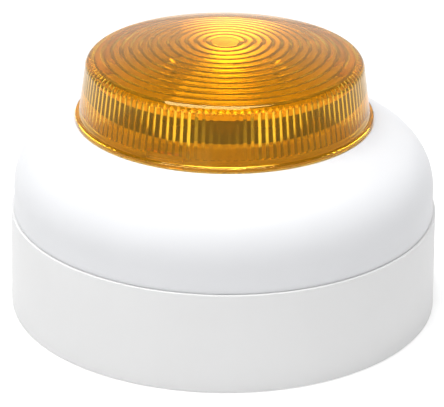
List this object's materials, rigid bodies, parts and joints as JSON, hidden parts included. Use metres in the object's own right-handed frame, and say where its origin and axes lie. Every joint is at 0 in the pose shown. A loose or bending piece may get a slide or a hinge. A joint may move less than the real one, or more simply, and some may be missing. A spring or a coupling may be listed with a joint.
{
  "type": "horn strobe",
  "caption": "Round wall-mounted alarm sounder and flashing beacon: deep white base, domed white head with a bayonet twist, and a ribbed amber lens that twists off.",
  "frame": {"origin": "centre of the flat back face, where the body's axis meets the wall", "axes": "+Z out of the wall along the body's axis to the crown of the lens, -Y towards the front of the picture, +Y towards the blanked side entry and the sound slots"},
  "size_m": [0.1, 0.1, 0.0639],
  "materials": {
    "base_plastic": "fine satin moulded white plastic",
    "head_plastic": "smooth semi-gloss moulded white plastic",
    "lens_amber": "clear amber polycarbonate, glossy outside, ribbed and ringed inside",
    "gasket_rubber": "pale grey silicone rubber",
    "inner_plastic": "matt pale grey plastic",
    "screw_steel": "bright zinc plated steel",
    "contact_brass": "bright brass",
    "circuit_board": "green solder mask",
    "beacon_board": "dark green solder mask",
    "switch_red": "matt red plastic",
    "switch_white": "matt white plastic",
    "trimmer_blue": "matt blue plastic",
    "component_black": "matt black moulding compound",
    "capacitor_sleeve": "dark printed sleeve with nothing written on it",
    "transformer_tape": "yellow winding tape",
    "coil_wrap": "varnished copper winding",
    "sounder_plastic": "matt black plastic",
    "piezo_ceramic": "pale silvered ceramic",
    "reflector_metal": "polished metal",
    "tube_glass": "clear glass",
    "electrode_metal": "bright metal"
  },
  "bodies": {
    "base": {"base_shell": "base_plastic", "contact_carrier": "inner_plastic", "carrier_screws": "screw_steel", "contact_strips": "contact_brass", "entry_plug": "base_plastic", "entry_washer": "gasket_rubber"},
    "clamp_1": {"terminal_clamp_1": "screw_steel"},
    "screw_1": {"terminal_screw_1": "screw_steel"},
    "clamp_2": {"terminal_clamp_2": "screw_steel"},
    "screw_2": {"terminal_screw_2": "screw_steel"},
    "clamp_3": {"terminal_clamp_3": "screw_steel"},
    "screw_3": {"terminal_screw_3": "screw_steel"},
    "clamp_4": {"terminal_clamp_4": "screw_steel"},
    "screw_4": {"terminal_screw_4": "screw_steel"},
    "head": {"head_shell": "head_plastic", "head_gasket": "gasket_rubber", "lens_gasket": "gasket_rubber", "rear_cover": "inner_plastic", "cover_screws": "screw_steel", "main_board_screws": "screw_steel", "strobe_board_screws": "screw_steel", "head_contact_pins": "contact_brass", "piezo_contacts": "contact_brass", "piezo_plate": "contact_brass", "main_board": "circuit_board", "strobe_board": "beacon_board", "dip_switch": "switch_red", "volume_trimmer": "trimmer_blue", "controller_chips": "component_black", "board_link": "component_black", "flash_capacitor": "capacitor_sleeve", "flash_transformer": "transformer_tape", "trigger_coil": "coil_wrap", "sounder_cup": "sounder_plastic", "sounder_cap": "sounder_plastic", "piezo_clamp_ring": "sounder_plastic", "horn_duct": "sounder_plastic", "piezo_ceramic": "piezo_ceramic", "reflector": "reflector_metal", "xenon_tube": "tube_glass", "tube_electrodes": "electrode_metal"},
    "lens_cover": {"lens": "lens_amber"},
    "volume_rotor": {"trimmer_rotor": "switch_white"},
    "lever_1": {"dip_lever_1": "switch_white"},
    "lever_2": {"dip_lever_2": "switch_white"},
    "lever_3": {"dip_lever_3": "switch_white"},
    "lever_4": {"dip_lever_4": "switch_white"},
    "lever_5": {"dip_lever_5": "switch_white"},
    "lever_6": {"dip_lever_6": "switch_white"}
  },
  "joints": [
    {"name": "head_twist", "type": "hinge", "parent": "base", "child": "head", "pos_m": [0, 0, 0], "axis": [0, 0, 1], "range_deg": [0, 25]},
    {"name": "lens_twist", "type": "hinge", "parent": "head", "child": "lens_cover", "pos_m": [0, 0, 0.0457], "axis": [0, 0, 1], "range_deg": [0, 11]},
    {"name": "volume_turn", "type": "hinge", "parent": "head", "child": "volume_rotor", "pos_m": [0.018, -0.014, 0.0215], "axis": [0, 0, -1], "range_deg": [-130, 130]},
    {"name": "clamp_lift_1", "type": "slide", "parent": "base", "child": "clamp_1", "axis": [0, 0, 1], "range_m": [0, 0.0021]},
    {"name": "screw_turn_1", "type": "hinge", "parent": "clamp_1", "child": "screw_1", "pos_m": [0.01697, 0.01697, 0.0125], "axis": [0, 0, 1], "range_deg": [0, 1080]},
    {"name": "clamp_lift_2", "type": "slide", "parent": "base", "child": "clamp_2", "axis": [0, 0, 1], "range_m": [0, 0.0021]},
    {"name": "screw_turn_2", "type": "hinge", "parent": "clamp_2", "child": "screw_2", "pos_m": [-0.01697, 0.01697, 0.0125], "axis": [0, 0, 1], "range_deg": [0, 1080]},
    {"name": "clamp_lift_3", "type": "slide", "parent": "base", "child": "clamp_3", "axis": [0, 0, 1], "range_m": [0, 0.0021]},
    {"name": "screw_turn_3", "type": "hinge", "parent": "clamp_3", "child": "screw_3", "pos_m": [-0.01697, -0.01697, 0.0125], "axis": [0, 0, 1], "range_deg": [0, 1080]},
    {"name": "clamp_lift_4", "type": "slide", "parent": "base", "child": "clamp_4", "axis": [0, 0, 1], "range_m": [0, 0.0021]},
    {"name": "screw_turn_4", "type": "hinge", "parent": "clamp_4", "child": "screw_4", "pos_m": [0.01697, -0.01697, 0.0125], "axis": [0, 0, 1], "range_deg": [0, 1080]},
    {"name": "lever_slide_1", "type": "slide", "parent": "head", "child": "lever_1", "axis": [0, 1, 0], "range_m": [0, 0.0018]},
    {"name": "lever_slide_2", "type": "slide", "parent": "head", "child": "lever_2", "axis": [0, 1, 0], "range_m": [0, 0.0018]},
    {"name": "lever_slide_3", "type": "slide", "parent": "head", "child": "lever_3", "axis": [0, 1, 0], "range_m": [0, 0.0018]},
    {"name": "lever_slide_4", "type": "slide", "parent": "head", "child": "lever_4", "axis": [0, 1, 0], "range_m": [0, 0.0018]},
    {"name": "lever_slide_5", "type": "slide", "parent": "head", "child": "lever_5", "axis": [0, 1, 0], "range_m": [0, 0.0018]},
    {"name": "lever_slide_6", "type": "slide", "parent": "head", "child": "lever_6", "axis": [0, 1, 0], "range_m": [0, 0.0018]}
  ],
  "couplings": [
    {"joint": "screw_turn_1", "follows": "clamp_lift_1", "rad_per_m": 8976},
    {"joint": "screw_turn_2", "follows": "clamp_lift_2", "rad_per_m": 8976},
    {"joint": "screw_turn_3", "follows": "clamp_lift_3", "rad_per_m": 8976},
    {"joint": "screw_turn_4", "follows": "clamp_lift_4", "rad_per_m": 8976}
  ]
}
